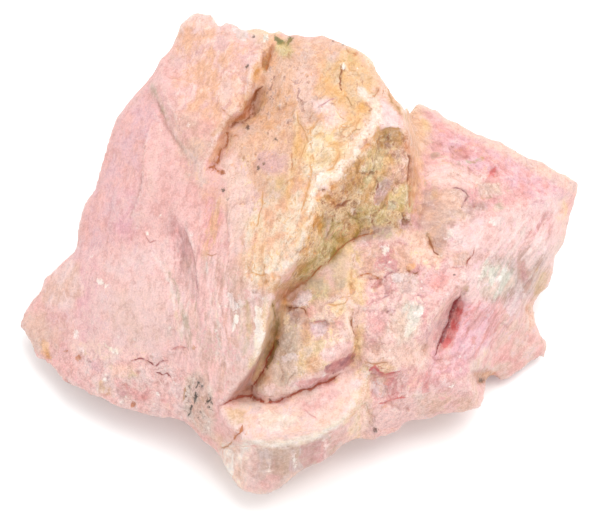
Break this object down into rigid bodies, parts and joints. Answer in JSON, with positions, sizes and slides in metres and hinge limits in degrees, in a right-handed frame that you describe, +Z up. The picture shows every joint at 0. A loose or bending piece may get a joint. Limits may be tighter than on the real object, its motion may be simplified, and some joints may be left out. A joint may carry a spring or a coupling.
{
  "type": "rough thulite",
  "caption": "Rough lump of pink massive stone, broken on every side, with a central ridge, a cleft, stepped ledges and a flat break to rest on.",
  "frame": {"origin": "middle of the stone's box, at the height of the flat break that it rests on", "axes": "+X along the stone's longest extent, +Y away from the side that shows the cleft, +Z up"},
  "size_m": [0.0564, 0.0456, 0.027],
  "materials": {
    "pink_thulite": "broken stone, satin to dull, pink with cream, ochre, olive and mauve-grey patches"
  },
  "bodies": {
    "root": {"thulite_stone": "pink_thulite"}
  },
  "joints": []
}
